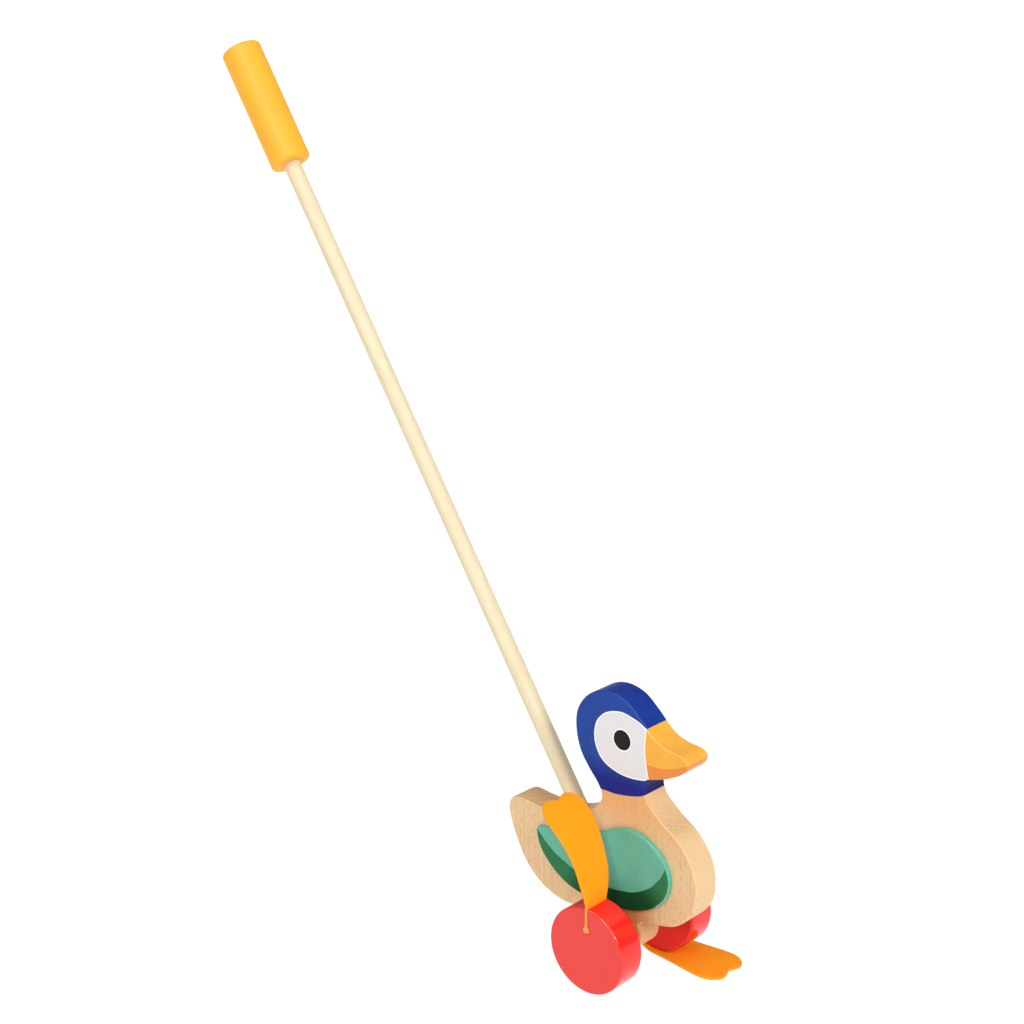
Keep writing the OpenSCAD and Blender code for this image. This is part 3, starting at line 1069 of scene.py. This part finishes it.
def make_handle():
    radius = size_of("handle")[1] / 2
    inner = radius - HANDLE_EDGE
    length = (size_of("handle")[2] - 2 * inner * abs(ROD_AXIS[0]) - 2 * HANDLE_EDGE) / ROD_AXIS[2]
    length += 2 * HANDLE_EDGE
    low = centre_of("handle") - ROD_AXIS * length / 2
    depth = (rod_ends()[1] - low) @ ROD_AXIS + 0.3
    bore = ROD_R + 0.06
    lower = straight_lines((0, depth), (bore, depth), (bore, 0.4), (bore + 0.4, 0), (inner, 0))
    side = straight_lines((radius, HANDLE_EDGE), (radius, length - HANDLE_EDGE))
    top = straight_lines((inner, length), (0, length))
    profile = Border(lower + [arc((inner, HANDLE_EDGE), HANDLE_EDGE, -90, 0, 0.4)] + side
                     + [arc((inner, length - HANDLE_EDGE), HANDLE_EDGE, 0, 90, 0.4)] + top, closed=False)
    finish = paint_over_wood("handle_yellow", colour("F9B434"), 0.02, 0.45, 0.02, 0.15)
    piece = build("handle_grip", turned(profile, 96), rod_placer(low), [finish])
    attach(piece, "duck")
    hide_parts("handle")


def make_axle():
    length = size_of("axle")[1]
    origin = AXLE - np.array([0, length / 2, 0])
    finish = wood("axle_bare", colour("E9D2A2"), colour("D9B987"), (colour("8A6A44"), 0.4), DOWEL_RINGS)
    piece = build("axle_dowel", turned(pin_profile(AXLE_R, length, 0.5), 48),
                  placer(origin, (1, 0, 0), (0, 1, 0)), [finish])
    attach(piece, "wheels")
    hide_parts("axle")


def make_spacer(node):
    radius, length = size_of(node)[0] / 2, size_of(node)[1]
    bore, c = AXLE_R + 0.06, 0.5
    corners = [(bore + 0.3, 0), (radius - c, 0), (radius, c), (radius, length - c), (radius - c, length),
               (bore + 0.3, length), (bore, length - 0.3), (bore, 0.3), (bore + 0.3, 0)]
    origin = centre_of(node) - np.array([0, length / 2, 0])
    finish = wood("spacer_bare_" + node, colour("E2BE8C"), colour("C99C66"), (colour("8A5C34"), 0.4))
    piece = build(node + "_sleeve", turned(Border(straight_lines(*corners)), 48),
                  placer(origin, (1, 0, 0), (0, 1, 0)), [finish])
    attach(piece, "wheels")
    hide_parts(node)


# ---------------- stage, light and camera

EYE_POINT = (0.8813, -0.9369, 0.6838)
AIM_POINT = (0.04874, 0.0, 0.29559)
LENS = 70.28
FLOOR_R = 60
FLOOR_CORNERS = 96
GLINTS = ((0.12, -0.61, 0.78), (0.3, -0.66, 0.69), (0.45, -0.68, 0.58), (0.6, -0.7, 0.39))


def make_floor():
    mesh = bpy.data.meshes.new("floor")
    turns = [math.tau * i / FLOOR_CORNERS for i in range(FLOOR_CORNERS)]
    ring = [(FLOOR_R * math.cos(a), FLOOR_R * math.sin(a), 0) for a in turns]
    mesh.from_pydata(ring, [], [tuple(range(FLOOR_CORNERS))])
    f = Finish("floor_white")
    f.set(Base_Color=(0.3, 0.3, 0.3, 1), Roughness=0.9, Specular_IOR_Level=0.1)
    f.set(Emission_Color=(1, 1, 1, 1), Emission_Strength=0.86)
    mesh.materials.append(f.material)
    floor = bpy.data.objects.new("floor", mesh)
    bpy.context.scene.collection.objects.link(floor)


def make_sun(name, towards, strength, spread):
    """A sun seen in the direction towards, that lights a facing white sheet by strength."""
    light = bpy.data.lights.new(name, "SUN")
    light.energy = strength * math.pi
    light.angle = math.radians(spread)
    lamp = bpy.data.objects.new(name, light)
    lamp.rotation_euler = Vector(towards).to_track_quat("Z", "Y").to_euler()
    bpy.context.scene.collection.objects.link(lamp)
    return lamp


def make_glint(name, towards, radiance, spread):
    """A lamp that is only seen in glossy surfaces, as a round light of the given radiance."""
    half = math.radians(spread / 2)
    make_sun(name, towards, radiance * 2 * (1 - math.cos(half)), spread).visible_diffuse = False


def make_world():
    """Soft grey light, brighter from above. The camera alone sees plain white behind the toy."""
    world = bpy.data.worlds.new("studio")
    world.use_nodes = True
    tree = world.node_tree
    tree.nodes.clear()
    where = tree.nodes.new("ShaderNodeTexCoord")
    parts = tree.nodes.new("ShaderNodeSeparateXYZ")
    ramp = tree.nodes.new("ShaderNodeValToRGB")
    ray = tree.nodes.new("ShaderNodeLightPath")
    seen = tree.nodes.new("ShaderNodeMix")
    seen.data_type = "RGBA"
    seen.inputs[7].default_value = (1, 1, 1, 1)
    sky = tree.nodes.new("ShaderNodeBackground")
    output = tree.nodes.new("ShaderNodeOutputWorld")
    tree.links.new(where.outputs["Generated"], parts.inputs[0])
    tree.links.new(parts.outputs["Z"], ramp.inputs[0])
    tree.links.new(ray.outputs["Is Camera Ray"], seen.inputs["Factor"])
    tree.links.new(ramp.outputs[0], seen.inputs[6])
    tree.links.new(seen.outputs[2], sky.inputs[0])
    tree.links.new(sky.outputs[0], output.inputs[0])
    stops = ramp.color_ramp.elements
    stops[0].position, stops[0].color = 0.5, (0.28, 0.28, 0.28, 1)
    stops[1].position, stops[1].color = 1.0, (0.45, 0.45, 0.45, 1)
    bpy.context.scene.world = world


def make_camera():
    camera = bpy.data.cameras.new("camera")
    camera.lens = LENS
    camera.sensor_width = 36
    holder = bpy.data.objects.new("camera", camera)
    holder.location = EYE_POINT
    holder.rotation_euler = (Vector(EYE_POINT) - Vector(AIM_POINT)).to_track_quat("Z", "Y").to_euler()
    bpy.context.scene.collection.objects.link(holder)
    bpy.context.scene.camera = holder


def light_stage():
    make_sun("key", (0.1, -0.75, 0.65), 0.3, 24)
    make_sun("front", (0.8, -0.12, 0.58), 0.5, 26)
    make_sun("above", (-0.1, -0.1, 1), 0.15, 60)
    make_glint("glint_back", (-0.41, -0.42, 0.8), 40, 13)
    for i, towards in enumerate(GLINTS):
        make_glint("glint_%d" % i, towards, 44, 9)
    make_glint("glint_side", (0.03, -0.97, 0.23), 3, 30)
    make_world()
    bpy.context.scene.view_settings.view_transform = "Standard"


make_duck()
make_wing("wing_right", -1)
make_wing("wing_left", 1)
make_wheel("wheel_right", -1)
make_wheel("wheel_left", 1)
make_feet()
make_rod()
make_handle()
make_axle()
make_spacer("spacer_right")
make_spacer("spacer_left")
make_floor()
light_stage()
make_camera()
